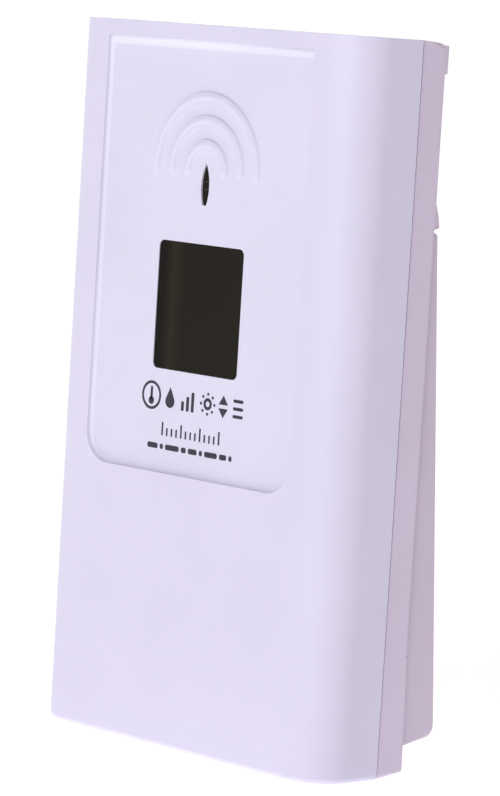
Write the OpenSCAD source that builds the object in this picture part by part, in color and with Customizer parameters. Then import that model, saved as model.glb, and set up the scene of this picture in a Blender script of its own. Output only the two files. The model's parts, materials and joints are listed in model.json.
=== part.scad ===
// Wireless outdoor temperature and humidity sensor with its own small display.
// Millimetres. +Z is up, the front faces -Y, and the origin is the middle of the base.

/* [Housing] */
// Height of the housing
body_h = 113; // [111:0.5:116]
// Width of the housing
body_w = 66.4; // [66:0.2:68]
// Depth, from the front face to the deepest point of the battery door
body_d = 26.5; // [26.4:0.1:27]
// Radius of the two upright front corners
corner_r = 7; // [6.5:0.1:8]
// Radius along the bottom edge
base_r = 1.1; // [0.9:0.1:1.5]
// Wall thickness of both housing halves
wall = 2; // [1.8:0.1:2]
// Depth of the parting line behind the front face
seam = 13.5; // [13.4:0.1:13.7]
// Depth of the back face behind the front face
back = 19.1; // [19:0.1:19.2]

/* [Front panel] */
// Width of the sunken panel
panel_w = 47.4; // [46:0.2:48]
// Bottom of the sunken panel
panel_bottom = 43; // [30:1:50]
// Top of the sunken panel
panel_top = 110.5; // [109:0.1:110.5]
// Depth of the sunken panel
panel_sink = 0.9; // [0.6:0.1:1]
// Width of the display window
window_w = 19.6; // [18:0.2:20]
// Height of the display window
window_h = 20.1; // [18:0.1:20.4]
// Height of the window's centre above the base
window_z = 69.2; // [69:0.1:70]
// Height of the indicator slot's centre above the base
slot_z = 88.1; // [87:0.1:89]
// Height of the indicator slot
slot_h = 7.6; // [6:0.2:8]
// Width of the indicator slot
slot_w = 1.9; // [1.6:0.1:2.2]
// Height of the centre that the three raised arcs share
arc_z = 90.5; // [90:0.5:92]
// Width of a raised arc
arc_w = 1.4; // [1:0.1:1.6]
// Height of a raised arc above the panel
arc_rise = 0.35; // [0.2:0.05:0.5]

/* [Battery door] */
// Height of the door's bottom edge
door_bottom = 4.7; // [4.7:0.1:5.2]
// Height of the door's top edge
door_top = 83.9; // [83:0.1:83.9]
// Depth of the door's outer face at its top edge
door_depth_top = 20.5; // [20.4:0.1:20.6]
// Wall thickness of the door
door_wall = 1.5; // [1.3:0.1:1.5]
// Height of the step in the door's front edge, where the housing's back comes out to meet it
door_step = 18.8; // [16:0.2:20]
// How far the door's sides stand in from the housing's sides
door_inset = 0.8; // [0.6:0.1:0.9]

/* [Batteries] */
// Cell diameter
cell_d = 14.2; // [13.5:0.1:14.2]
// Cell length with its cap
cell_l = 50.5; // [49.5:0.1:50.5]

/* [Controls] */
// Height of the row of controls
control_z = 75; // [74.5:0.5:75.5]
// Distance of a button from the middle
button_x = 13; // [12.5:0.5:13.5]
// Radius of a button
button_r = 2; // [1.8:0.1:2.2]

/* [Hidden] */
$fn = 64;

eps = 0.05;             // overlap that joins two solids of one piece
past = 5;               // how far a cutter runs past what it cuts
seam_gap = 0.3;         // open width of the parting line
half_w = body_w / 2;
rear_half_w = half_w - 0.2;
top_fall = 0.6;         // degrees by which the top slopes down towards the back

// Depths behind the front face
front_inner = wall;
window_front = panel_sink + 0.6;
window_back = window_front + 1;
lcd_front = window_back + 0.05;
lcd_back = lcd_front + 1.5;
holder_back = lcd_back + 0.5;
board_front = 6.7;
board_back = board_front + 1.6;
seam_front = seam - seam_gap / 2;
seam_back = seam + seam_gap / 2;
deck_inner = board_back + 7;    // floor of the recess under the door
deck_outer = deck_inner + 1.6;
flange_seat = back - 0.7;       // rear edge of the side walls beside the door
back_inner = back - 1.8;
door_gap = 0.15;        // between the door's edge and the housing
door_w = 2 * (rear_half_w - door_inset);

// Places of the screws
board_screw_x = 18.8;
board_screw_z = [70.8, 104.2];
screw_x = 24.8;
screw_z = [10.5, 106.5];
screw_seat = back - 3.4;

// The display and its holder
lcd_w = 23;
lcd_z = [57.2, 82.4];
holder_w = 27;
holder_z = [55.6, 83.2];

// The slanted frame of the door and the cells
door_slope = atan((body_d - door_depth_top) / (door_top - door_bottom));
cell_r = cell_d / 2;
cell_x = cell_r + 0.3;
cell_y = -(door_wall + 0.25 + cell_r);
tray_half_w = 2 * cell_r + 0.8;
tray_floor = cell_y - cell_r - 0.1;
tray_skin = 0.9;
tray_low = -76.2;
tray_high = tray_low + cell_l + 7.1;
plate_t = 0.4;
spring_gap = 6;

// Keyhole for a wall screw
key_z = 96.5;
key_r = 3.75;
key_slot_r = 1.9;
key_rise = 6;

function dy(depth) = depth - body_d / 2;

// ---------- small shared shapes ----------

// A box from its limits: x, depth behind the front face, and height.
module block(x, depth, z)
    translate([x[0], dy(depth[0]), z[0]])
        cube([x[1] - x[0], depth[1] - depth[0], z[1] - z[0]]);

// An outline drawn in x and z, extruded between two depths.
module plate(depth)
    translate([0, dy(depth[1]), 0]) rotate([90, 0, 0])
        linear_extrude(depth[1] - depth[0]) children();

// A round bar along Y between two depths.
module rod(x, z, r, depth)
    translate([x, dy(depth[0]), z]) rotate([-90, 0, 0])
        cylinder(r = r, h = depth[1] - depth[0]);

module round_rect(w, h, r) {
    square([w - 2 * r, h], center = true);
    square([w, h - 2 * r], center = true);
    for (sx = [-1, 1], sy = [-1, 1])
        translate([sx * (w / 2 - r), sy * (h / 2 - r)]) circle(r = r);
}

// A rectangle in x and z between two heights, centred on x = 0.
module panel_rect(w, z, r)
    translate([0, (z[0] + z[1]) / 2]) round_rect(w, z[1] - z[0], r);

module mirrored() {
    children();
    mirror([1, 0, 0]) children();
}

// The frame that leans with the door: y = 0 is the door's outer face, z runs up it.
module slanted()
    translate([0, dy(door_depth_top), door_top]) rotate([door_slope, 0, 0]) children();

// A tube swept along points, with a ring of `sides` corners in each point's plane.
function unit(v) = v / norm(v);
function tangent(p, i) = unit(p[min(i + 1, len(p) - 1)] - p[max(i - 1, 0)]);
function ring(c, t, r, sides, ref) =
    let (u = unit(cross(t, ref)), v = cross(u, t))
    [for (k = [0 : sides - 1]) c + r * (cos(360 * k / sides) * u + sin(360 * k / sides) * v)];

module swept_wire(points, r, sides = 8, ref = [0, 0, 1]) {
    n = len(points);
    corners = [for (i = [0 : n - 1]) each ring(points[i], tangent(points, i), r, sides, ref)];
    walls = [for (i = [0 : n - 2], k = [0 : sides - 1])
        let (a = i * sides + k, b = i * sides + (k + 1) % sides)
        [a, b, b + sides, a + sides]];
    first = [for (k = [sides - 1 : -1 : 0]) k];
    last = [for (k = [0 : sides - 1]) (n - 1) * sides + k];
    polyhedron(corners, concat([first], walls, [last]), convexity = 8);
}

// Points of a coil about Z whose radius changes evenly from r[0] to r[1].
function coil(r, z, turns, steps = 18) =
    let (n = round(turns * steps))
    [for (i = [0 : n]) let (a = 360 * turns * i / n, s = i / n, q = r[0] + (r[1] - r[0]) * s)
        [q * cos(a), q * sin(a), z[0] + (z[1] - z[0]) * s]];

// ---------- front housing ----------

// Plan outline of the front half, moved in by `inset` at the front and the sides.
function front_plan(inset, rear) =
    let (cx = half_w - corner_r, cy = dy(corner_r), r = corner_r - inset)
    concat(
        [for (a = [180 : 5 : 270]) [-cx + r * cos(a), cy + r * sin(a)]],
        [for (a = [270 : 5 : 360]) [cx + r * cos(a), cy + r * sin(a)]],
        [[half_w - inset, dy(rear)], [-half_w + inset, dy(rear)]]);

module front_block()
    hull() {
        for (a = [0 : 15 : 90])
            translate([0, 0, base_r * (1 - sin(a))])
                linear_extrude(eps) polygon(front_plan(base_r * (1 - cos(a)), seam_front));
        translate([0, dy(0), body_h]) rotate([-top_fall, 0, 0]) translate([0, -dy(0), -1])
            linear_extrude(1) polygon(front_plan(0, seam_front));
    }

module front_cavity()
    translate([0, 0, wall]) linear_extrude(body_h - 2 * wall)
        polygon(front_plan(wall, seam + past));

module panel_outline() {
    r = 5;
    mid = (panel_bottom + panel_top) / 2;
    panel_rect(panel_w, [panel_bottom, mid + r], r);
    translate([-panel_w / 2, mid]) square([panel_w, panel_top - mid]);
}

// A pointed oval: where two equal circles overlap.
module slot_outline(grow = 0) {
    h = slot_h / 2 + grow;
    w = slot_w / 2 + grow;
    r = (h * h + w * w) / (2 * w);
    translate([0, slot_z]) intersection() {
        translate([r - w, 0]) circle(r = r, $fn = 128);
        translate([w - r, 0]) circle(r = r, $fn = 128);
    }
}

module arc_outline(r)
    translate([0, arc_z]) {
        difference() {
            circle(r = r + arc_w / 2);
            circle(r = r - arc_w / 2);
            translate([-2 * r, -4 * r]) square(4 * r);
        }
        for (sx = [-1, 1]) translate([sx * r, 0]) circle(r = arc_w / 2);
    }

module front_housing() color("whitesmoke") {
    difference() {
        union() {
            difference() {
                front_block();
                front_cavity();
                plate([-1, panel_sink]) panel_outline();
            }
            for (r = [4.2, 7.9, 11.5])
                plate([panel_sink - arc_rise, panel_sink + eps]) arc_outline(r);
            for (x = [-1, 1], z = screw_z)
                rod(x * screw_x, z, 3, [front_inner + 0.2, seam_front]);
            for (x = [-1, 1], z = board_screw_z)
                rod(x * board_screw_x, z, 2, [front_inner - eps, board_front - eps]);
        }
        plate([-1, front_inner + 1]) translate([0, window_z]) round_rect(window_w, window_h, 1);
        plate([window_front, front_inner + 1])
            translate([0, window_z]) round_rect(window_w + 2.2, window_h + 2.2, 1.2);
        plate([-1, front_inner + 1]) slot_outline();
        for (x = [-1, 1], z = screw_z) rod(x * screw_x, z, 1.05, [5.5, seam + past]);
        for (x = [-1, 1], z = board_screw_z) rod(x * board_screw_x, z, 0.85, [2.6, seam]);
    }
}

// ---------- rear housing ----------

// A slab between two heights whose back corners have the radii given for its foot and its top.
module rear_slab(z, r, foot = 0) {
    hull() {
        block([-rear_half_w, rear_half_w], [seam_back, seam_back + eps], [max(z[0], base_r), z[1]]);
        mirrored() translate([rear_half_w - r[0], dy(back - r[0]), z[0] + foot + r[0]])
            sphere(r = r[0], $fn = 16);
        mirrored() translate([rear_half_w - r[1], dy(back - r[1]), z[1] - 0.3 - r[1]])
            sphere(r = r[1], $fn = 32);
        children();
    }
}

// The back's upright edges tighten below the step, and its underside rises towards the back.
module rear_block() {
    rear_slab([door_step - 2, body_h - 0.15], [1.1, 1.1]);
    rear_slab([0, door_step + 1.4], [0.4, 1.1], foot = 0.9)
        mirrored() translate([rear_half_w - base_r, dy(seam_back), base_r]) rotate([-90, 0, 0])
            cylinder(r = base_r, h = eps, $fn = 32);
    // a flat pad under the middle carries the back's weight
    block([-26, 26], [seam_back, back - base_r], [0, wall]);
}

module rear_cavity()
    block([-half_w + wall, half_w - wall], [-past, back_inner], [wall, body_h - wall - 0.6]);

// The lip that locates the rear half inside the front half.
module seam_lip() {
    gap = 0.1;
    t = 1;
    reach = [seam - 2, seam_back + eps];
    plate(reach) difference() {
        panel_rect(body_w - 2 * (wall + gap), [wall + gap, body_h - wall - gap], 1);
        panel_rect(body_w - 2 * (wall + gap + t), [wall + gap + t, body_h - wall - gap - t], 0.5);
    }
}

// A band across the top of the back stands a little proud.
module top_band() {
    z = [107.85, body_h - 0.75];
    depth = [back - 1.6, back + 0.5];
    w = 2 * (rear_half_w - 0.15);
    intersection() {
        translate([-w / 2, dy(depth[0]), 0]) rotate([90, 0, 90]) linear_extrude(w)
            polygon([[0, z[0]], [1.6, z[0]], [2.1, z[0] + 0.5], [2.1, z[1] - 0.8],
                     for (a = [15 : 15 : 75]) [1.3 + 0.8 * cos(a), z[1] - 0.8 + 0.8 * sin(a)],
                     [1.3, z[1]], [0, z[1]]]);
        translate([0, dy(depth[1]) - 2, z[0] - 1]) linear_extrude(z[1] - z[0] + 2)
            round_rect(w, 4, 0.7);
    }
}

// A rounded ridge above the door, with a steep edge towards it.
module grip_ridge() {
    foot = door_top + 0.3;
    rise = 1.15;
    length = 3.9;
    crest = [for (t = [0 : 0.2 : 1]) [dy(back + rise * (1 - t) * (1 + 0.4 * t)), foot + 0.5 + length * t]];
    translate([-door_w / 2, 0, 0]) rotate([90, 0, 90]) linear_extrude(door_w)
        polygon(concat([[dy(back - 1), foot - 0.1], [dy(back + rise - 0.25), foot + 0.25]], crest,
                       [[dy(back - 1), foot + 0.5 + length]]));
}

module tray_box(grow, depth)
    slanted()
        translate([-tray_half_w - grow, tray_floor - (grow > 0 ? tray_skin : 0), tray_low - grow])
            cube([2 * (tray_half_w + grow), depth, tray_high - tray_low + 2 * grow]);

module tray_shell()
    intersection() {
        tray_box(1.1, 30);
        block([-half_w, half_w], [0, deck_outer], [0, body_h]);
    }

// A closed pocket behind the keyhole takes the screw's head.
module key_pocket(r, depth) {
    rod(0, key_z, r, depth);
    rod(0, key_z + key_rise, r, depth);
    block([-r, r], depth, [key_z, key_z + key_rise]);
}

module vent_slots()
    mirrored() for (z = [91.5 : 3.2 : 101.2])
        block([11, 23], [back_inner - 1, back + past], [z, z + 1.2]);

module control_holes() {
    for (x = [-1, 1])
        rod(x * button_x, control_z, button_r + 0.08, [deck_inner - 1, deck_outer + 1]);
    block([-3.8, 3.8], [deck_inner - 1, deck_outer + 1], [control_z - 1.4, control_z + 1.4]);
}

module door_opening() {
    block([2.4 - rear_half_w, rear_half_w - 2.4], [deck_outer, back + past], [6.2, door_top + 0.3]);
    block([-half_w - 1, half_w + 1], [flange_seat, back + past], [door_step - 0.2, door_top + 0.3]);
    mirrored() block([14.2, 21.8], [back - 2.8, back + past], [door_bottom - 0.2, 10]);
    block([-6, 6], [flange_seat + 0.3, back + past], [door_top, door_top + 2]);
}

module rear_housing() color("gainsboro") {
    difference() {
        union() {
            difference() {
                union() {
                    rear_block();
                    top_band();
                    grip_ridge();
                }
                rear_cavity();
            }
            seam_lip();
            block([1.7 - rear_half_w, rear_half_w - 1.7], [deck_inner, back_inner + eps], [4.4, door_top + 2.2]);
            tray_shell();
            key_pocket(5.3, [back - 6.2, back_inner + eps]);
            for (x = [-1, 1], z = screw_z)
                rod(x * screw_x, z, 4.2, [seam_back, (z < 50 ? deck_inner : back_inner) + eps]);
        }
        door_opening();
        tray_box(0, 40);
        control_holes();
        key_pocket(4.2, [back - 5, back_inner]);
        rod(0, key_z, key_r, [back_inner - 1, back + past]);
        rod(0, key_z + key_rise, key_slot_r, [back_inner - 1, back + past]);
        block([-key_slot_r, key_slot_r], [back_inner - 1, back + past], [key_z, key_z + key_rise]);
        vent_slots();
        for (x = [-1, 1], z = screw_z) {
            rod(x * screw_x, z, 1.4, [seam - 1, back]);
            rod(x * screw_x, z, 3, [screw_seat, back + past]);
        }
        contact_slots();
    }
}

// ---------- battery door ----------

// The door's wedge: an upright edge at the front, a slanted back with rounded edges.
module door_wedge(inset, front) {
    side_r = 1 - 0.4 * inset;
    foot_r = 2 - 0.4 * inset;
    x = door_w / 2 - inset;
    foot = [dy(body_d - inset - foot_r), door_bottom + 0.8 + inset + foot_r];
    hull() {
        block([-x, x], [front, front + eps], [door_bottom + inset, door_top - inset]);
        for (sx = [-1, 1]) slanted()
            translate([sx * (x - side_r), -inset - side_r, -inset - 0.65 * side_r])
                scale([1, 1, 0.65]) sphere(r = side_r, $fn = 32);
        // the foot's edge rolls over at both ends
        for (a = [0 : 30 : 90]) let (w = x - side_r * (1 - cos(a)))
            translate([-w, foot[0], foot[1]]) rotate([0, 90, 0])
                cylinder(r = foot_r - side_r * (1 - sin(a)), h = 2 * w, $fn = 32);
    }
}

module battery_door() color("gainsboro") {
    seats = [[flange_seat, door_step, body_h], [back, 0, door_step + eps]];
    difference() {
        for (seat = seats) intersection() {
            door_wedge(0, flange_seat + door_gap);
            block([-half_w, half_w], [seat[0] + door_gap, 40], [seat[1], seat[2]]);
        }
        door_wedge(door_wall, flange_seat - 1);
    }
    // two hooks at the bottom and a tongue at the top
    mirrored() block([14.6, 21.4], [back - 1.9, back + 1.5], [door_bottom + 0.3, door_bottom + 1.6]);
    block([-5.6, 5.6], [flange_seat + 0.6, back + 0.8], [door_top - 2, door_top + 1.5]);
}

// ---------- window, lens and display ----------

module display_window() color("darkslategray") {
    plate([window_front, window_back])
        translate([0, window_z]) round_rect(window_w + 2, window_h + 2, 1.1);
    plate([panel_sink + 0.12, window_front + eps])
        translate([0, window_z]) round_rect(window_w - 0.12, window_h - 0.12, 0.94);
}

module indicator_lens() color("dimgray") {
    plate([panel_sink + 0.3, front_inner + eps]) slot_outline(-0.05);
    plate([front_inner, front_inner + 0.7]) translate([0, slot_z]) round_rect(6, 9.2, 2);
}

module lcd_panel() color("darkseagreen")
    plate([lcd_front, lcd_back]) panel_rect(lcd_w, lcd_z, 0.4);

module lcd_holder() color("black")
    difference() {
        plate([front_inner, holder_back]) panel_rect(holder_w, holder_z, 1);
        plate([front_inner - 1, lcd_back + 0.05])
            panel_rect(lcd_w + 0.3, [lcd_z[0] - 0.15, lcd_z[1] + 0.15], 0.4);
        plate([lcd_back, holder_back + 1]) panel_rect(20, [59.5, lcd_z[1]], 0.4);
    }

module zebra_strip() color("lightpink")
    block([-9.5, 9.5], [lcd_back, board_front], [lcd_z[1] - 2.4, lcd_z[1] - 0.2]);

// ---------- circuit board ----------

module main_board() color("green")
    difference() {
        plate([board_front, board_back]) panel_rect(43.2, [68, 107], 1);
        for (x = [-1, 1], z = board_screw_z) rod(x * board_screw_x, z, 1.1, [5, 12]);
    }

// Epoxy dome over the controller chip.
module controller_chip() color("black") {
    r = 9;
    rise = 1.2;
    translate([-9, dy(board_back), 87]) rotate([-90, 0, 0]) rotate_extrude()
        intersection() {
            translate([0, rise - r]) circle(r = r, $fn = 128);
            square([r, rise]);
        }
}

module crystal() color("silver")
    translate([-1.5, dy(board_back + 1.15), 80.6]) {
        cylinder(r = 1.1, h = 6);
        mirrored() translate([0.25, -0.2, -1.4]) cube([0.35, 0.35, 1.5]);
    }

module storage_capacitor() color("navy") {
    rod(-17, 93, 2.5, [board_back, board_back + 0.6]);
    rod(-17, 93, 2.3, [board_back + 0.6, board_back + 1.1]);
    rod(-17, 93, 2.5, [board_back + 1.1, board_back + 5.8]);
}

module status_led() color("firebrick") {
    rod(0, slot_z, 1.9, [board_front - 1, board_front]);
    rod(0, slot_z, 1.5, [4.4, board_front - 1 + eps]);
    translate([0, dy(4.4), slot_z]) sphere(r = 1.5);
}

module radio_board() color("darkgreen")
    plate([board_back, board_back + 0.8]) translate([12.2, 90]) round_rect(16.6, 16, 0.5);

module radio_can() color("silver") {
    rod(9, 91, 4.5, [board_back + 0.8, board_back + 1.3]);
    rod(9, 91, 4, [board_back + 1.3, board_back + 4]);
}

// Loosely wound aerial that stands on the radio board.
module antenna_coil() color("peru") {
    r = 2.2;
    axis_y = dy(board_back + 0.8 + r + 0.5);
    foot_z = 83.5;
    turns = coil([r, r], [foot_z, 96.5], 9);
    translate([17, axis_y, 0]) {
        swept_wire(turns, 0.35, 6);
        translate([r, 0, foot_z]) rotate([90, 0, 0]) cylinder(r = 0.35, h = r + 0.5, $fn = 16);
    }
}

module humidity_sensor() color("ghostwhite")
    difference() {
        block([7.5, 15.5], [board_back, board_back + 3.6], [99.6, 105.6]);
        for (x = [8.6 : 1.5 : 14.6])
            block([x, x + 0.7], [board_back + 2.6, board_back + 4], [100.6, 104.6]);
    }

module thermistor() color("black") {
    bead = [-8.5, dy(board_back + 3.4), 103.5];
    translate(bead) sphere(r = 1.2);
    for (x = [-0.6, 0.6])
        translate([bead[0] + x, dy(board_back), bead[2]]) rotate([-90, 0, 0])
            cylinder(r = 0.2, h = 3, $fn = 16);
}

// ---------- switches and controls ----------

module press_switch(x)
    difference() {
        block([x - 3, x + 3], [board_back, board_back + 3.5], [control_z - 3, control_z + 3]);
        rod(x, control_z, 1.9, [board_back + 1.6, board_back + 4]);
    }

module press_stem(x) rod(x, control_z, 1.7, [board_back + 2.3, board_back + 4.4]);

module press_button(x) {
    rod(x, control_z, 1.6, [board_back + 4.4, deck_inner - 1.25]);
    rod(x, control_z, 3, [deck_inner - 1.3, deck_inner - 0.3]);
    rod(x, control_z, button_r, [deck_inner - 0.35, deck_outer + 1]);
}

module reset_switch() color("dimgray") press_switch(-button_x);
module unit_switch() color("dimgray") press_switch(button_x);
module reset_stem() color("black") press_stem(-button_x);
module unit_stem() color("black") press_stem(button_x);
module reset_button() color("darkgray") press_button(-button_x);
module unit_button() color("darkgray") press_button(button_x);

module channel_switch() color("silver")
    difference() {
        block([-4.8, 4.8], [board_back, board_back + 3.8], [control_z - 2, control_z + 2]);
        block([-3.3, 3.3], [board_back + 1.5, board_back + 5], [control_z - 1, control_z + 1]);
    }

module channel_lever() color("black")
    block([-1, 1], [board_back + 2, board_back + 5.6], [control_z - 0.7, control_z + 0.7]);

module channel_slider() color("darkgray")
    difference() {
        union() {
            block([-1.9, 1.9], [board_back + 4.3, deck_inner - 1.2], [control_z - 1.6, control_z + 1.6]);
            block([-6, 6], [deck_inner - 1.25, deck_inner - 0.3], [control_z - 2.6, control_z + 2.6]);
            block([-1.6, 1.6], [deck_inner - 0.35, deck_outer + 1.1], [control_z - 1.2, control_z + 1.2]);
        }
        block([-1.05, 1.05], [board_back + 4, board_back + 5.65], [control_z - 0.75, control_z + 0.75]);
    }

// ---------- batteries and contacts ----------

module contact_plate(x, z, y = [-15, -4])
    slanted() translate([x[0], y[0], z]) cube([x[1] - x[0], y[1] - y[0], plate_t]);

// A tab carries a top contact through the tray's end wall to the board.
module contact_tab(x, grow = 0)
    slanted()
        translate([x - 1.5 - grow, -15 - grow, tray_high - plate_t])
            cube([3 + 2 * grow, 0.5 + 2 * grow, 3.2 + grow]);

module contact_slots()
    for (x = [-1, 1]) contact_tab(x * cell_x, 0.1);

module spring(x, z, r)
    slanted() translate([x, cell_y, 0]) swept_wire(coil(r, z, 4), 0.4);

module positive_contact() color("silver") {
    contact_plate([-13.5, -1.5], tray_high - plate_t);
    contact_tab(-cell_x);
}

module negative_contact() color("silver") {
    contact_plate([1.5, 13.5], tray_high - plate_t);
    contact_tab(cell_x);
    spring(cell_x, [tray_high - plate_t - 0.1, tray_high - spring_gap - 0.1], [4.4, 3]);
}

module bridge_contact() color("silver") {
    contact_plate([-13.5, 13.5], tray_low, [-14.5, -3.5]);
    spring(-cell_x, [tray_low + plate_t + 0.1, tray_low + spring_gap + 0.1], [4.4, 3]);
}

module cell(x, base, upright) {
    nub = 1.2;
    can = cell_l - nub;
    slanted() translate([x, cell_y, base]) {
        translate([0, 0, upright ? 0 : nub]) cylinder(r = cell_r, h = can);
        translate([0, 0, upright ? can - eps : 0]) cylinder(r = 2.7, h = nub + eps);
    }
}

module left_cell() color("goldenrod")
    cell(-cell_x, tray_high - plate_t - cell_l - 0.05, true);

module right_cell() color("goldenrod")
    cell(cell_x, tray_low + plate_t + 0.05, false);

// ---------- screws ----------

module screw(x, z, seat, tip, r, head_r, head_h)
    difference() {
        union() {
            rod(x, z, r, [tip, seat + eps]);
            rod(x, z, head_r, [seat, seat + head_h]);
        }
        block([x - head_r, x + head_r], [seat + head_h * 0.5, seat + head_h + 1], [z - 0.3, z + 0.3]);
        block([x - 0.3, x + 0.3], [seat + head_h * 0.5, seat + head_h + 1],
              [z - head_r * 0.7, z + head_r * 0.7]);
    }

module board_screws() color("silver")
    for (x = [-1, 1], z = board_screw_z)
        screw(x * board_screw_x, z, board_back, 3.2, 0.8, 1.9, 1.3);

module housing_screws() color("silver")
    for (x = [-1, 1], z = screw_z)
        screw(x * screw_x, z, screw_seat, 6, 1, 2.5, 1.6);

front_housing();
rear_housing();
battery_door();
display_window();
indicator_lens();
lcd_panel();
lcd_holder();
zebra_strip();
main_board();
controller_chip();
crystal();
storage_capacitor();
status_led();
radio_board();
radio_can();
antenna_coil();
humidity_sensor();
thermistor();
reset_switch();
unit_switch();
reset_stem();
unit_stem();
reset_button();
unit_button();
channel_switch();
channel_lever();
channel_slider();
positive_contact();
negative_contact();
bridge_contact();
left_cell();
right_cell();
board_screws();
housing_screws();
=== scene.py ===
"""Looks of the wireless temperature and humidity sensor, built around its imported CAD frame."""

import json
import math

import bmesh
import bpy
from mathutils import Matrix, Vector


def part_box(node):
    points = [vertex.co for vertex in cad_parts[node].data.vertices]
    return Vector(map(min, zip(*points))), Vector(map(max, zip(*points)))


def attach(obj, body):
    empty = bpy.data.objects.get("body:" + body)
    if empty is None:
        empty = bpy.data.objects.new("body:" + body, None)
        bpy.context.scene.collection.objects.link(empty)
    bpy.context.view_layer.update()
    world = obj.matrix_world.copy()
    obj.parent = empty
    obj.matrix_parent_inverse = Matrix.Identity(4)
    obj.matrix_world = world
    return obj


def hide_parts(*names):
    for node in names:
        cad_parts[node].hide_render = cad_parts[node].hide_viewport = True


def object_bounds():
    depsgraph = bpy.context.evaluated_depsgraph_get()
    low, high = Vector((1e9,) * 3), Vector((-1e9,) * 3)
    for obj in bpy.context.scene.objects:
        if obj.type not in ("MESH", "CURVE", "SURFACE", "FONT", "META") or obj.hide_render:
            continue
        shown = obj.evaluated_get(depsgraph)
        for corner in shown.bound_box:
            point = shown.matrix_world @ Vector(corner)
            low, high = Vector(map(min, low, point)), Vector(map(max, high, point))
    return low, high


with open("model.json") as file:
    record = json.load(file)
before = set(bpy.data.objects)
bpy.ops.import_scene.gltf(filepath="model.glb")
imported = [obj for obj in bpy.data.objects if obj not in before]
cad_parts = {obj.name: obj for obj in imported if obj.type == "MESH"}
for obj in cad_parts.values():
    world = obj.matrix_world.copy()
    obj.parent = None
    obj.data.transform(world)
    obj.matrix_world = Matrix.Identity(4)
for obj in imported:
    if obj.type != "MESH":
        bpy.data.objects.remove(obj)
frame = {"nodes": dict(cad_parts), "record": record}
cad_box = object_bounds()

MM = 0.001
nodes = frame["nodes"]
low, high = (Vector(corner) for corner in cad_box)
front_y = low.y
height = high.z

# Places and sizes on the front in millimetres; x from the middle, z from the base
PANEL_SINK, PANEL_HALF, PANEL_LOW, PANEL_TOP, PANEL_CORNER = 0.9, 23.7, 43.0, 110.5, 5.0
WINDOW_HALF = 9.8
SLOT_Z, SLOT_TIP_Z = 88.3, 84.72
ARCS_Z, ARC_RADII = 90.5, (4.2, 7.9, 11.5)


# ---------- node helpers ----------

class Shader:
    """A material's node tree with short calls for adding and joining nodes."""

    def __init__(self, name):
        self.material = bpy.data.materials.new(name)
        self.material.use_nodes = True
        self.tree = self.material.node_tree
        self.bsdf = self.tree.nodes["Principled BSDF"]
        self.place = self.add("ShaderNodeTexCoord").outputs["Object"]

    def add(self, kind, **values):
        """A new node; values name its inputs where it has them, and its settings otherwise."""
        node = self.tree.nodes.new(kind)
        for key, value in values.items():
            if key in node.inputs:
                node.inputs[key].default_value = value
            else:
                setattr(node, key, value)
        return node

    def join(self, source, target):
        self.tree.links.new(source, target)

    def set(self, **values):
        for key, value in values.items():
            self.bsdf.inputs[key.replace("_", " ")].default_value = value

    def noise(self, scale, detail=3.0, rough=0.5, place=None):
        node = self.add("ShaderNodeTexNoise", Scale=scale, Detail=detail, Roughness=rough)
        self.join(place or self.place, node.inputs["Vector"])
        return node.outputs["Fac"]

    def ramp(self, source, stops):
        node = self.add("ShaderNodeValToRGB")
        band = node.color_ramp
        while len(band.elements) < len(stops):
            band.elements.new(0.5)
        for element, (at, value) in zip(band.elements, stops):
            element.position = at
            element.color = (*value, 1)
        self.join(source, node.inputs["Fac"])
        return node.outputs["Color"]

    def spread(self, source, low_value, high_value, start=0.3, end=0.7):
        """A value between start and end stretched to run from low_value to high_value."""
        node = self.add("ShaderNodeMapRange")
        node.inputs["From Min"].default_value = start
        node.inputs["From Max"].default_value = end
        node.inputs["To Min"].default_value = low_value
        node.inputs["To Max"].default_value = high_value
        self.join(source, node.inputs["Value"])
        return node.outputs["Result"]

    def multiplied(self, one, two, factor=1.0):
        """One colour times another; two may be a plain colour, and factor may be a socket."""
        node = self.add("ShaderNodeMix", data_type="RGBA", blend_type="MULTIPLY")
        self.join(one, node.inputs["A"])
        if isinstance(two, tuple):
            node.inputs["B"].default_value = (*two, 1)
        else:
            self.join(two, node.inputs["B"])
        if isinstance(factor, bpy.types.NodeSocket):
            self.join(factor, node.inputs["Factor"])
        else:
            node.inputs["Factor"].default_value = factor
        return node.outputs["Result"]

    def calculated(self, operation, *values):
        """The result of a math node, from sockets or plain numbers."""
        node = self.add("ShaderNodeMath", operation=operation)
        for value, socket in zip(values, node.inputs):
            if isinstance(value, bpy.types.NodeSocket):
                self.join(value, socket)
            else:
                socket.default_value = value
        return node.outputs["Value"]

    def across_front(self):
        """Places turned so that a flat pattern lies in the front plane."""
        node = self.add("ShaderNodeMapping")
        node.inputs["Rotation"].default_value = (math.radians(90), 0, 0)
        self.join(self.place, node.inputs["Vector"])
        return node.outputs["Vector"]

    def bricks(self, place, offset, squash=1.0, squash_frequency=2, **sizes):
        """A brick pattern's joints; sizes are its inputs, with _ for a space."""
        node = self.add("ShaderNodeTexBrick", offset=offset, squash=squash,
                        squash_frequency=squash_frequency)
        for key, value in sizes.items():
            node.inputs[key.replace("_", " ")].default_value = value
        self.join(place, node.inputs["Vector"])
        return node.outputs["Fac"]

    def bump(self, source, strength, distance, below=None):
        node = self.add("ShaderNodeBump", Strength=strength, Distance=distance)
        self.join(source, node.inputs["Height"])
        if below is not None:
            self.join(below, node.inputs["Normal"])
        return node.outputs["Normal"]

    def colour(self, source):
        self.join(source, self.bsdf.inputs["Base Color"])

    def roughness(self, source):
        self.join(source, self.bsdf.inputs["Roughness"])

    def normal(self, source):
        self.join(source, self.bsdf.inputs["Normal"])


def shade(colour, factor):
    return tuple(c * factor for c in colour)


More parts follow.
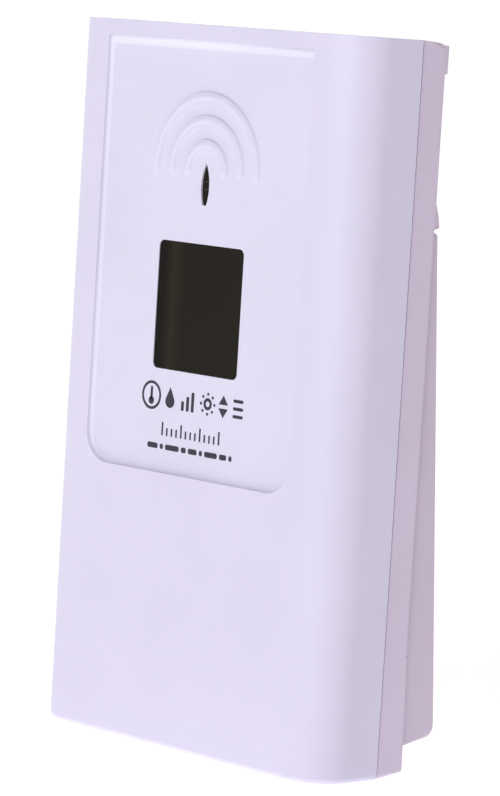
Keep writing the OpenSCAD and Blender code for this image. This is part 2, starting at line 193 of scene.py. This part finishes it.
def moulded_shader(name, colour, rough=0.42):
    """Injection-moulded plastic: a fine spark-eroded grain, faint mottling and uneven gloss."""
    grain, depth, mottling = 9000.0, 0.02 * MM, 0.02
    s = Shader(name)
    broad = s.noise(60.0, 4.0)
    s.colour(s.ramp(broad, [(0.3, shade(colour, 1 - mottling)), (0.7, shade(colour, 1 + mottling))]))
    s.roughness(s.spread(s.noise(240.0, 3.0), rough - 0.05, rough + 0.06))
    fine = s.bump(s.noise(grain, 2.0, 0.6), 0.35, depth)
    s.normal(s.bump(s.noise(grain / 3.5, 2.0), 0.2, depth * 1.5, fine))
    return s


def moulded(name, colour, rough=0.42):
    return moulded_shader(name, colour, rough).material


def with_panel(s, margin, tint, sheen):
    """The front's plastic, with the sunken panel a little cooler and smoother than the rest."""
    spot = s.add("ShaderNodeSeparateXYZ")
    s.join(s.place, spot.inputs["Vector"])
    off_middle = s.calculated("ABSOLUTE", spot.outputs["X"])
    beside = s.calculated("LESS_THAN", off_middle, (PANEL_HALF - margin) * MM)
    above = s.calculated("GREATER_THAN", spot.outputs["Z"], (PANEL_LOW + margin) * MM)
    below = s.calculated("LESS_THAN", spot.outputs["Z"], (PANEL_TOP - margin) * MM)
    inside = s.calculated("MULTIPLY", beside, s.calculated("MULTIPLY", above, below))
    colour = s.bsdf.inputs["Base Color"].links[0].from_socket
    rough = s.bsdf.inputs["Roughness"].links[0].from_socket
    s.colour(s.multiplied(colour, tint, inside))
    s.roughness(s.calculated("SUBTRACT", rough, s.calculated("MULTIPLY", inside, sheen)))
    return s.material


def metal(name, colour, rough, brushed=(1, 1, 1)):
    """Plated or stamped metal: drawn-out grain, tarnish and uneven polish."""
    s = Shader(name)
    stretch = s.add("ShaderNodeMapping")
    stretch.inputs["Scale"].default_value = brushed
    s.join(s.place, stretch.inputs["Vector"])
    lines = s.noise(4000.0, 3.0, 0.6, stretch.outputs["Vector"])
    s.colour(s.ramp(s.noise(500.0, 4.0), [(0.3, shade(colour, 0.82)), (0.7, shade(colour, 1.04))]))
    s.roughness(s.spread(lines, rough - 0.1, rough + 0.12))
    s.normal(s.bump(lines, 0.25, 0.02 * MM))
    s.set(Metallic=1.0)
    return s.material


def glossy(name, colour, rough):
    """Epoxy, tinted resin or shrunk sleeve: smooth, with flow marks and slight waviness."""
    mottling = 0.12
    s = Shader(name)
    flow = s.noise(700.0, 4.0, 0.6)
    s.colour(s.ramp(flow, [(0.3, shade(colour, 1 - mottling)), (0.7, shade(colour, 1 + mottling))]))
    s.roughness(s.spread(s.noise(1500.0, 2.0), rough - 0.06, rough + 0.08))
    s.normal(s.bump(s.noise(900.0, 2.0), 0.15, 0.05 * MM))
    return s.material


def smoked(name, warm=1.0):
    """Smoked acrylic over a dark display: deep and glossy, with a painted shadow as a darker band along
    one side and a painted reflection as a paler band beside it."""
    s = Shader(name)
    across = s.add("ShaderNodeSeparateXYZ")
    s.join(s.place, across.inputs["Vector"])
    place = s.spread(across.outputs["X"], 0.0, 1.0, -WINDOW_HALF * MM, WINDOW_HALF * MM)
    deep = (0.0105, 0.0084, 0.0042 * warm)
    # painted shadow along the window's left side, then a paler painted reflection band, over the
    # acrylic's own deep tint
    bands = s.ramp(place, [(0.0, (0.0035, 0.0012, 0.0010)), (0.07, (0.0045, 0.0022, 0.0016)),
                           (0.13, shade(deep, 1.1)), (0.18, shade(deep, 1.9)), (0.24, shade(deep, 1.5)),
                           (0.32, deep), (1.0, shade(deep, 1.1))])
    cloud = s.ramp(s.noise(120.0, 2.0), [(0.3, (0.92, 0.92, 0.92)), (0.7, (1, 1, 1))])
    s.colour(s.multiplied(bands, cloud))
    s.roughness(s.spread(s.noise(400.0), 0.05, 0.10))
    s.set(Specular_IOR_Level=0.09)
    return s.material


def circuit_board(name):
    """Solder mask over copper, with straight traces and plated pads."""
    s = Shader(name)
    turned = s.across_front()
    traces = s.bricks(turned, 0.37, 0.6, 3, Scale=260.0, Mortar_Size=0.045, Mortar_Smooth=0.2,
                      Brick_Width=1.7, Row_Height=0.42)
    mask = s.ramp(traces, [(0.35, (0.010, 0.105, 0.035)), (0.65, (0.030, 0.240, 0.080))])
    pads = s.add("ShaderNodeTexVoronoi", Scale=330.0)
    s.join(turned, pads.inputs["Vector"])
    spot = s.ramp(pads.outputs["Distance"], [(0.10, (1, 1, 1)), (0.14, (0, 0, 0))])
    mix = s.add("ShaderNodeMix", data_type="RGBA")
    s.join(spot, mix.inputs["Factor"])
    s.join(mask, mix.inputs["A"])
    mix.inputs["B"].default_value = (0.66, 0.62, 0.50, 1)
    s.colour(mix.outputs["Result"])
    s.join(spot, s.bsdf.inputs["Metallic"])
    s.roughness(s.spread(s.noise(900.0), 0.22, 0.34))
    s.normal(s.bump(traces, 0.6, 0.03 * MM))
    return s.material


def banded(name, bands, rough=0.3, metallic=None):
    """A printed sleeve: colour bands along the piece's height, with fine scuffs."""
    s = Shader(name)
    spot = s.add("ShaderNodeSeparateXYZ")
    s.join(s.add("ShaderNodeTexCoord").outputs["Generated"], spot.inputs["Vector"])
    print_colour = s.ramp(spot.outputs["Z"], bands)
    scuffs = s.ramp(s.noise(2500.0, 5.0, 0.7), [(0.35, (0.82, 0.82, 0.82)), (0.6, (1, 1, 1))])
    s.colour(s.multiplied(print_colour, scuffs))
    s.roughness(s.spread(s.noise(700.0), rough - 0.08, rough + 0.08))
    if metallic:
        s.join(s.ramp(spot.outputs["Z"], metallic), s.bsdf.inputs["Metallic"])
    return s.material


def display_glass(name):
    """The display behind the window: a polariser with a fine pixel mesh."""
    s = Shader(name)
    mesh = s.bricks(s.across_front(), 0.0, Scale=900.0, Mortar_Size=0.03, Brick_Width=0.6,
                    Row_Height=0.6)
    s.colour(s.ramp(mesh, [(0.4, (0.105, 0.112, 0.082)), (0.6, (0.085, 0.090, 0.068))]))
    s.roughness(s.spread(s.noise(500.0), 0.08, 0.16))
    return s.material


# ---------- mesh helpers ----------

bodies = frame["record"]["behaviour"]["bodies"]


def body_with(node):
    return next(name for name, members in bodies.items() if node in members)


def mesh_from(bm, name):
    mesh = bpy.data.meshes.new(name)
    bm.to_mesh(mesh)
    bm.free()
    return mesh


def add_object(name, mesh, material, body):
    piece = bpy.data.objects.new(name, mesh)
    bpy.context.collection.objects.link(piece)
    mesh.materials.clear()
    mesh.materials.append(material)
    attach(piece, body)
    return piece


def add_front_skin(name, rows, closed, material):
    """A smooth skin through rows of points, facing the front; closed joins the last to the first."""
    bm = bmesh.new()
    lines = [[bm.verts.new((x * MM, front_y + y * MM, z * MM)) for x, y, z in row] for row in rows]
    following = lines[1:] + lines[:1] if closed else lines[1:]
    for one, two in zip(lines, following):
        for k in range(len(one) - 1):
            bm.faces.new((one[k], two[k], two[k + 1], one[k + 1]))
    bmesh.ops.remove_doubles(bm, verts=bm.verts, dist=1e-7)
    for face in bm.faces:
        face.smooth = True
    bmesh.ops.recalc_face_normals(bm, faces=bm.faces)
    if sum(face.normal.y * face.calc_area() for face in bm.faces) > 0:
        bmesh.ops.reverse_faces(bm, faces=bm.faces)
    add_object(name, mesh_from(bm, name), material, "sensor_body")


def refined(node, material, bevel):
    """A finished copy of a CAD node: flat faces joined, and every edge rounded."""
    bm = bmesh.new()
    bm.from_mesh(nodes[node].data)
    bmesh.ops.remove_doubles(bm, verts=bm.verts, dist=1e-6)
    bmesh.ops.dissolve_limit(bm, angle_limit=math.radians(0.4), verts=bm.verts, edges=bm.edges,
                             use_dissolve_boundaries=False)
    bmesh.ops.recalc_face_normals(bm, faces=bm.faces)
    for face in bm.faces:
        face.smooth = True
    name = node + "_finished"
    piece = add_object(name, mesh_from(bm, name), material, body_with(node))
    rounding = piece.modifiers.new("rounding", "BEVEL")
    rounding.width = bevel * MM
    rounding.segments = 3
    rounding.limit_method = "ANGLE"
    rounding.angle_limit = math.radians(32)
    rounding.harden_normals = True
    rounding.miter_outer = "MITER_ARC"
    piece.modifiers.new("normals", "WEIGHTED_NORMAL").keep_sharp = True
    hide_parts(node)


def paint(node, material):
    nodes[node].data.materials.clear()
    nodes[node].data.materials.append(material)


def prisms(name, outlines, depth, lift, material, body, facing=-1):
    """Flat shapes in the front (-1) or back (+1) plane at the given depth, raised by lift."""
    bm = bmesh.new()
    for outline in outlines:
        rings = []
        for y in (depth, depth + facing * lift):
            rings.append([bm.verts.new((x * MM, front_y + y * MM, z * MM)) for x, z in outline])
        bm.faces.new(rings[1])
        for a in range(len(outline)):
            b = (a + 1) % len(outline)
            bm.faces.new((rings[0][a], rings[0][b], rings[1][b], rings[1][a]))
    bmesh.ops.recalc_face_normals(bm, faces=bm.faces)
    return add_object(name, mesh_from(bm, name), material, body)


def disc(x, z, r, steps=28):
    return [(x + r * math.cos(math.tau * k / steps), z + r * math.sin(math.tau * k / steps))
            for k in range(steps)]


def ring(x, z, r, width, steps=36):
    """A ring as a row of short blocks."""
    angles = [math.radians(360 * k / steps) for k in range(steps + 1)]
    return [[(x + q * math.cos(a), z + q * math.sin(a))
             for q, a in ((r - width, a0), (r, a0), (r, a1), (r - width, a1))]
            for a0, a1 in zip(angles, angles[1:])]


def bar(x, z, w, h, r):
    """A bar with rounded corners around its middle (x, z)."""
    r = min(r, w / 2, h / 2)
    points = []
    for cx, cz, first in ((x + w / 2 - r, z + h / 2 - r, 0), (x - w / 2 + r, z + h / 2 - r, 90),
                          (x - w / 2 + r, z - h / 2 + r, 180), (x + w / 2 - r, z - h / 2 + r, 270)):
        for k in range(4):
            a = math.radians(first + 30 * k)
            points.append((cx + r * math.cos(a), cz + r * math.sin(a)))
    return points


def droplet(x, z, r):
    """A water drop: round below, pointed above."""
    points = [(x + r * math.cos(math.radians(a)), z + r * math.sin(math.radians(a)))
              for a in range(150, 391, 15)]
    return points + [(x, z + 2.1 * r)]


# ---------- finishes ----------

def upside_down(stops):
    return [(1 - at, value) for at, value in reversed(stops)]


SHELL = (0.748, 0.718, 0.882)
SLEEVE_PRINT = [(0.0, (0.50, 0.50, 0.48)), (0.035, (0.035, 0.075, 0.150)),
                (0.62, (0.040, 0.085, 0.170)), (0.66, (0.70, 0.42, 0.08)),
                (0.93, (0.74, 0.46, 0.10)), (0.96, (0.62, 0.62, 0.60))]
SLEEVE_METAL = [(0.0, (1, 1, 1)), (0.035, (0, 0, 0)), (0.93, (0, 0, 0)), (0.96, (1, 1, 1))]
white_front = with_panel(moulded_shader("white_front", SHELL), margin=0.2,
                         tint=(1.0, 1.022, 1.006), sheen=0.06)
# painted highlight: the panel's fillet gets a lighter copy of the shell's white to show the bright band
# of light it catches
white_cove_painted_highlight = moulded("white_cove_painted_highlight", (0.815, 0.800, 0.945), 0.32)
# painted shade: the rear half gets a darker, pinker copy of the front's white, standing in for the
# shade and warm light on its sides
white_rear_painted_shade = moulded("white_rear_painted_shade", (0.715, 0.632, 0.780))
# painted shade: the door's white is darker again than the rear half's, standing in for the shade on the
# door's side towards the bottom
white_door_painted_shade = moulded("white_door_painted_shade", (0.680, 0.590, 0.728))
smoke = smoked("smoked_window")
lens_smoke = smoked("smoked_lens", 0.6)
board = circuit_board("solder_mask")
black = moulded("black_plastic", (0.022, 0.022, 0.024), 0.38)
epoxy = glossy("epoxy_black", (0.018, 0.018, 0.019), 0.22)
nickel = metal("nickel_plate", (0.78, 0.76, 0.70), 0.22)
steel = metal("zinc_steel", (0.62, 0.62, 0.60), 0.34)
can = metal("plated_can", (0.72, 0.72, 0.70), 0.26, brushed=(1, 1, 12))
stamped = metal("stamped_steel", (0.64, 0.64, 0.64), 0.32)
copper = metal("enamelled_copper", (0.72, 0.34, 0.15), 0.2)
sleeve = banded("cell_sleeve", SLEEVE_PRINT, metallic=SLEEVE_METAL)
cell_turned = banded("cell_sleeve_turned", upside_down(SLEEVE_PRINT),
                     metallic=upside_down(SLEEVE_METAL))
finishes = {
    "display_window": smoke,
    "indicator_lens": lens_smoke,
    "lcd_panel": display_glass("display_glass"),
    "lcd_holder": black,
    "zebra_strip": banded("zebra_rubber", [(0.0, (0.62, 0.30, 0.32)), (0.45, (0.62, 0.30, 0.32)),
                                           (0.5, (0.05, 0.03, 0.03)), (0.55, (0.62, 0.30, 0.32))],
                          rough=0.6),
    "main_board": board,
    "radio_board": board,
    "controller_chip": epoxy,
    "thermistor": epoxy,
    "crystal": can,
    "radio_can": can,
    "storage_capacitor": banded("capacitor_sleeve", [(0.0, (0.020, 0.028, 0.100)),
                                                     (0.70, (0.024, 0.032, 0.115)),
                                                     (0.74, (0.55, 0.56, 0.60)),
                                                     (0.90, (0.55, 0.56, 0.60)),
                                                     (0.94, (0.020, 0.028, 0.100))]),
    "status_led": glossy("led_red", (0.60, 0.030, 0.022), 0.12),
    "antenna_coil": copper,
    "humidity_sensor": moulded("sensor_white", (0.80, 0.80, 0.74), 0.5),
    "reset_switch": stamped,
    "unit_switch": stamped,
    "channel_switch": stamped,
    "reset_stem": black,
    "unit_stem": black,
    "channel_lever": black,
    "reset_button": moulded("button_grey", (0.17, 0.175, 0.19), 0.5),
    "unit_button": moulded("button_grey_light", (0.19, 0.195, 0.21), 0.5),
    "channel_slider": moulded("slider_grey", (0.15, 0.155, 0.165), 0.48),
    "positive_contact": nickel,
    "negative_contact": nickel,
    "bridge_contact": nickel,
    "left_cell": sleeve,
    "right_cell": cell_turned,
    "board_screws": steel,
    "housing_screws": steel,
}
for node, material in finishes.items():
    paint(node, material)

refined("front_housing", white_front, bevel=0.3)
refined("rear_housing", white_rear_painted_shade, bevel=0.16)
refined("battery_door", white_door_painted_shade, bevel=0.2)


# ---------- details on the front ----------

def panel_cove():
    """The soft fillet where the sunken panel's wall meets its floor, wider along the top, drawn in a
    lighter white as a painted highlight.
    """
    r, behind_wall, proud, top_stretch = 0.56, 0.012, 0.004, 2.5
    quarter = [math.radians(15 * k) for k in range(7)]
    centre_x, centre_z = -PANEL_HALF + PANEL_CORNER, PANEL_LOW + PANEL_CORNER
    # each stop is x, z and how far the fillet reaches inwards along x and z, in radii
    left = [(centre_x - PANEL_CORNER * math.sin(a), centre_z - PANEL_CORNER * math.cos(a),
             math.sin(a), math.cos(a)) for a in quarter]
    left += [(-PANEL_HALF, z, 1, 0) for z in (60, 75, 90, 105)]
    left.append((-PANEL_HALF, PANEL_TOP, 1, -top_stretch))
    right = [(-x, z, -nx, nz) for x, z, nx, nz in reversed(left)]
    rows = []
    for x, z, nx, nz in left + right:
        row = []
        for a in quarter:
            inward = r - r * math.sin(a) - behind_wall
            up = r - r * math.cos(a) + proud
            row.append((x + inward * nx, PANEL_SINK - up, z + inward * nz))
        rows.append(row)
    add_front_skin("panel_cove", rows, True, white_cove_painted_highlight)


def badge(x, z):
    """A thermometer in a ring."""
    return ring(x, z, 2.25, 0.42) + [bar(x, z + 0.35, 0.5, 2.1, 0.25), disc(x, z - 0.85, 0.62)]


def rising_bars(x, z):
    return [bar(x + 1.15 * k, z - 0.95 + 0.4 * k, 0.62, 1.5 + 0.8 * k, 0.2) for k in range(3)]


def sun(x, z):
    rays = [math.radians(45 * k) for k in range(8)]
    return ring(x, z, 0.95, 0.5, steps=24) + [
        disc(x + 1.55 * math.cos(a), z + 1.55 * math.sin(a), 0.24, 12) for a in rays]


def up_and_down(x, z):
    return [[(x - 1.05, z + side * 0.3), (x, z + side * 1.75), (x + 1.05, z + side * 0.3)]
            for side in (-1, 1)]


def stacked_lines(x, z):
    return [bar(x, z - 1.2 + 1.2 * k, 2.3, 0.5, 0.25) for k in range(3)]


def scale_ticks(x, z):
    """Thirteen ticks hanging from one line, every fourth of them long."""
    long, short = 2.1, 1.25
    heights = [long if k % 4 == 0 else short for k in range(13)]
    return [bar(x + 1.1 * k, z - (long - tall) / 2, 0.34, tall, 0.1) for k, tall in enumerate(heights)]


def dashes(x, z):
    row, gap = [], 0.55
    for width in (2.4, 0.7, 3.2, 1.1, 2.0, 0.7, 2.9, 1.6, 0.7):
        row.append(bar(x + width / 2, z, width, 0.85, 0.3))
        x += width + gap
    return row


def printed_marks():
    """Generic marks below the window: a thermometer badge, weather signs, a scale and a dashed line."""
    signs_z, scale_z, dashes_z = 54.8, 49.8, 47.0
    shapes = badge(-9.6, signs_z) + [droplet(-5.2, signs_z - 0.55, 1.05)]
    shapes += rising_bars(-2.2, signs_z) + sun(3.6, signs_z)
    shapes += up_and_down(7.2, signs_z) + stacked_lines(10.6, signs_z)
    shapes += scale_ticks(-6.6, scale_z) + dashes(-9.9, dashes_z)
    ink = glossy("printing_ink", (0.020, 0.021, 0.040), 0.4)
    sunk, lift = 0.01, 0.035
    prisms("printed_marks", shapes, PANEL_SINK + sunk, lift, ink, "sensor_body")


def arc_beads():
    """The three raised arcs as full, rounded ridges with round ends."""
    half_width, rise, sunk = 0.86, 0.46, 0.01
    profile = [math.radians(18 * k) for k in range(11)]
    rounding = [math.radians(15 * k) for k in range(7)]
    ends = [(-half_width * math.cos(a), math.sin(a)) for a in rounding]
    # each stop is the angle along the arc, the drop past its end, and the ridge's size there
    stops = [(0.0, drop, size) for drop, size in ends]
    stops += [(math.radians(4.5 * k), 0.0, 1.0) for k in range(1, 40)]
    stops += [(math.pi, drop, size) for drop, size in reversed(ends)]
    for index, radius in enumerate(ARC_RADII):
        rows = []
        for turn, drop, size in stops:
            row = []
            for t in profile:
                out = radius - half_width * size * math.cos(t)
                row.append((out * math.cos(turn), PANEL_SINK + sunk - rise * size * math.sin(t),
                            ARCS_Z + out * math.sin(turn) + drop))
            rows.append(row)
        add_front_skin("arc_bead_%d" % (index + 1), rows, False, white_front)


def slot_details():
    """The diode's rim in the indicator slot, and the slot's blunt lower end."""
    rim = metal("lens_rim", (0.10, 0.095, 0.10), 0.3)
    lens_depth, rim_lift = 1.24, 0.05
    filler_depth, proud = 0.5, 0.004
    prisms("lens_ring", ring(0, SLOT_Z, 0.74, 0.12, steps=24), lens_depth, rim_lift, rim,
           "sensor_body")
    prisms("slot_end", [bar(0, SLOT_TIP_Z, 1.5, 1.1, 0.3)], PANEL_SINK + filler_depth,
           filler_depth + proud, white_front, "sensor_body")


# ---------- details on the back and inside ----------

def door_marks():
    """A raised arrow and grip bars near the door's top edge, laid on its slope."""
    box_low, box_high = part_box("battery_door")
    lean = 6.0 / 79.2           # how far the door's face moves back for each unit downwards
    lift, buried = 0.55, 0.3 * MM
    arrow = [(-3.2, 68.6), (3.2, 68.6), (0, 64.2)]
    grips = [bar(0, 77.4 - 1.7 * k, 18 - 2.4 * k, 0.8, 0.4) for k in range(4)]
    piece = prisms("door_grip", [arrow] + grips, 0, lift, white_door_painted_shade, "door",
                   facing=1)
    for vertex in piece.data.vertices:
        vertex.co.y += box_high.y - (vertex.co.z - box_low.z) * lean - front_y - buried


def board_parts():
    """Chip resistors with solder ends on the back of the main board."""
    sunk, chip_lift, end_lift = 0.02, 0.42, 0.48
    depth = (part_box("main_board")[1].y - front_y) / MM - sunk
    places = ((-14, 80), (-14, 78), (-17, 86), (-5, 98), (-5, 101), (3, 98.5), (16, 79), (12, 79.5),
              (5, 79), (-10, 79.5), (18, 100.5), (0, 103.5))
    chips = [bar(x, z, 0.9, 0.75, 0.05) for x, z in places]
    ends = [bar(x + side * 0.62, z, 0.4, 0.8, 0.12) for x, z in places for side in (-1, 1)]
    prisms("chip_resistors", chips, depth, chip_lift, epoxy, "sensor_body",
           facing=1)
    prisms("solder_ends", ends, depth, end_lift, stamped, "sensor_body",
           facing=1)


panel_cove()
printed_marks()
arc_beads()
slot_details()
board_parts()
door_marks()


# ---------- camera, light and floor ----------

def studio_camera():
    """The view from the photograph: right of the front, a little above the top edge."""
    azimuth, elevation, roll = (math.radians(a) for a in (47.30, 5.67, 3.49))
    distance = 644.25 * MM
    target = Vector((1.11 * MM, front_y + 12.0 * MM, 0.4889 * height))
    back = Vector((math.sin(azimuth) * math.cos(elevation),
                   -math.cos(azimuth) * math.cos(elevation), math.sin(elevation)))
    right = (-back).cross(Vector((0, 0, 1))).normalized()
    up = right.cross(-back)
    right_r = math.cos(roll) * right + math.sin(roll) * up
    up_r = -math.sin(roll) * right + math.cos(roll) * up
    data = bpy.data.cameras.new("studio_camera")
    data.lens = 186.0
    data.sensor_width = 36.0
    data.clip_start = 0.01
    camera = bpy.data.objects.new("studio_camera", data)
    basis = Matrix((right_r, up_r, back)).transposed()
    camera.matrix_world = Matrix.Translation(target + distance * back) @ basis.to_4x4()
    bpy.context.collection.objects.link(camera)
    bpy.context.scene.camera = camera


def area_light(name, place, aim, size, power, colour):
    data = bpy.data.lights.new(name, "AREA")
    data.shape = "RECTANGLE"
    data.size, data.size_y = size
    data.energy = power
    data.color = colour
    lamp = bpy.data.objects.new(name, data)
    place = Vector(place)
    lamp.matrix_world = Matrix.Translation(place) @ (Vector(aim) - place).to_track_quat(
        "-Z", "Y").to_matrix().to_4x4()
    bpy.context.collection.objects.link(lamp)


def studio():
    """A pale sweep: floor and backdrop in one curved sheet, turned towards the camera."""
    half_width, near, far, radius, top = 3.0, -2.5, 1.2, 0.8, 3.5     # metres
    curve = [math.radians(7.5 * step) for step in range(1, 13)]
    profile = [(near, 0.0), (far, 0.0)]
    profile += [(far + radius * math.sin(a), radius * (1 - math.cos(a))) for a in curve]
    profile.append((far + radius, top))
    bm = bmesh.new()
    rows = [[bm.verts.new((x, y, z)) for y, z in profile] for x in (-half_width, half_width)]
    for left, right in zip(zip(rows[0], rows[0][1:]), zip(rows[1], rows[1][1:])):
        bm.faces.new((left[0], right[0], right[1], left[1]))
    mesh = mesh_from(bm, "sweep")
    for face in mesh.polygons:
        face.use_smooth = True
    floor = bpy.data.objects.new("sweep", mesh)
    floor.rotation_euler.z = math.radians(47)
    bpy.context.collection.objects.link(floor)
    s = Shader("sweep_paper")
    s.colour(s.ramp(s.noise(20.0), [(0.3, (0.93, 0.93, 0.93)), (0.7, (0.95, 0.95, 0.95))]))
    s.set(Roughness=0.9, Emission_Color=(1, 1, 1, 1), Emission_Strength=0.62)
    mesh.materials.append(s.material)


def world_light(strength, colour):
    world = bpy.data.worlds.new("studio_world")
    world.use_nodes = True
    world.node_tree.nodes["Background"].inputs["Color"].default_value = (*colour, 1)
    world.node_tree.nodes["Background"].inputs["Strength"].default_value = strength
    bpy.context.scene.world = world


bpy.context.scene.view_settings.view_transform = "Standard"
studio()
studio_camera()
world_light(strength=0.22, colour=(1.0, 0.86, 0.95))
area_light("key", place=(0.44, -1.285, 0.62), aim=(0, 0, 0.06), size=(0.8, 0.8), power=8.9,
           colour=(0.985, 1.0, 1.0))
